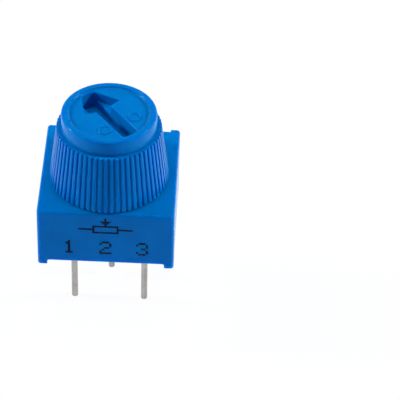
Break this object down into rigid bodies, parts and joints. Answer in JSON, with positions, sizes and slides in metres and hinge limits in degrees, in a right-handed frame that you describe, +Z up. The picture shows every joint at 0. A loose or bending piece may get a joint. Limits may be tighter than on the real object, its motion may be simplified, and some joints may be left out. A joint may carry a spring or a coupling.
{
  "type": "trimmer potentiometer",
  "caption": "Square single-turn cermet trimmer potentiometer for circuit boards, with a ribbed finger knob that has an arrow-shaped driver slot, and three wire terminals below.",
  "frame": {"origin": "middle (wiper) terminal where it crosses the circuit board's surface, which the feet stand on", "axes": "+Z up along the knob's axis, away from the board; -Y towards the marked front wall; +X to the right seen from that wall"},
  "size_m": [0.0096, 0.0095, 0.0174],
  "materials": {
    "case_plastic": "satin moulded plastic, mid blue",
    "knob_plastic": "satin moulded plastic, mid blue",
    "rotor_plastic": "plain moulded plastic, off-white",
    "seal_rubber": "black elastomer",
    "wiper_alloy": "rolled spring alloy",
    "ceramic": null,
    "cermet": "fired resistive film, black",
    "silver_film": "fired silver film, dull",
    "tinned_wire": "tinned copper wire, slightly dull",
    "solder": "solder, bright",
    "epoxy": "potting resin, dark blue, slightly glossy"
  },
  "bodies": {
    "case": {"housing": "case_plastic", "substrate": "ceramic", "resistive_track": "cermet", "track_end_1": "silver_film", "collector": "silver_film", "track_end_3": "silver_film", "pad_1": "silver_film", "pad_2": "silver_film", "pad_3": "silver_film", "terminal_1": "tinned_wire", "terminal_2": "tinned_wire", "terminal_3": "tinned_wire", "solder_1": "solder", "solder_2": "solder", "solder_3": "solder", "epoxy_seal": "epoxy"},
    "spindle": {"rotor": "rotor_plastic", "knob": "knob_plastic", "o_ring": "seal_rubber", "wiper": "wiper_alloy"}
  },
  "joints": [
    {"name": "knob_turn", "type": "hinge", "parent": "case", "child": "spindle", "pos_m": [0, -0.00254, 0.00483], "axis": [0, 0, 1], "range_deg": [-193, 117]}
  ]
}
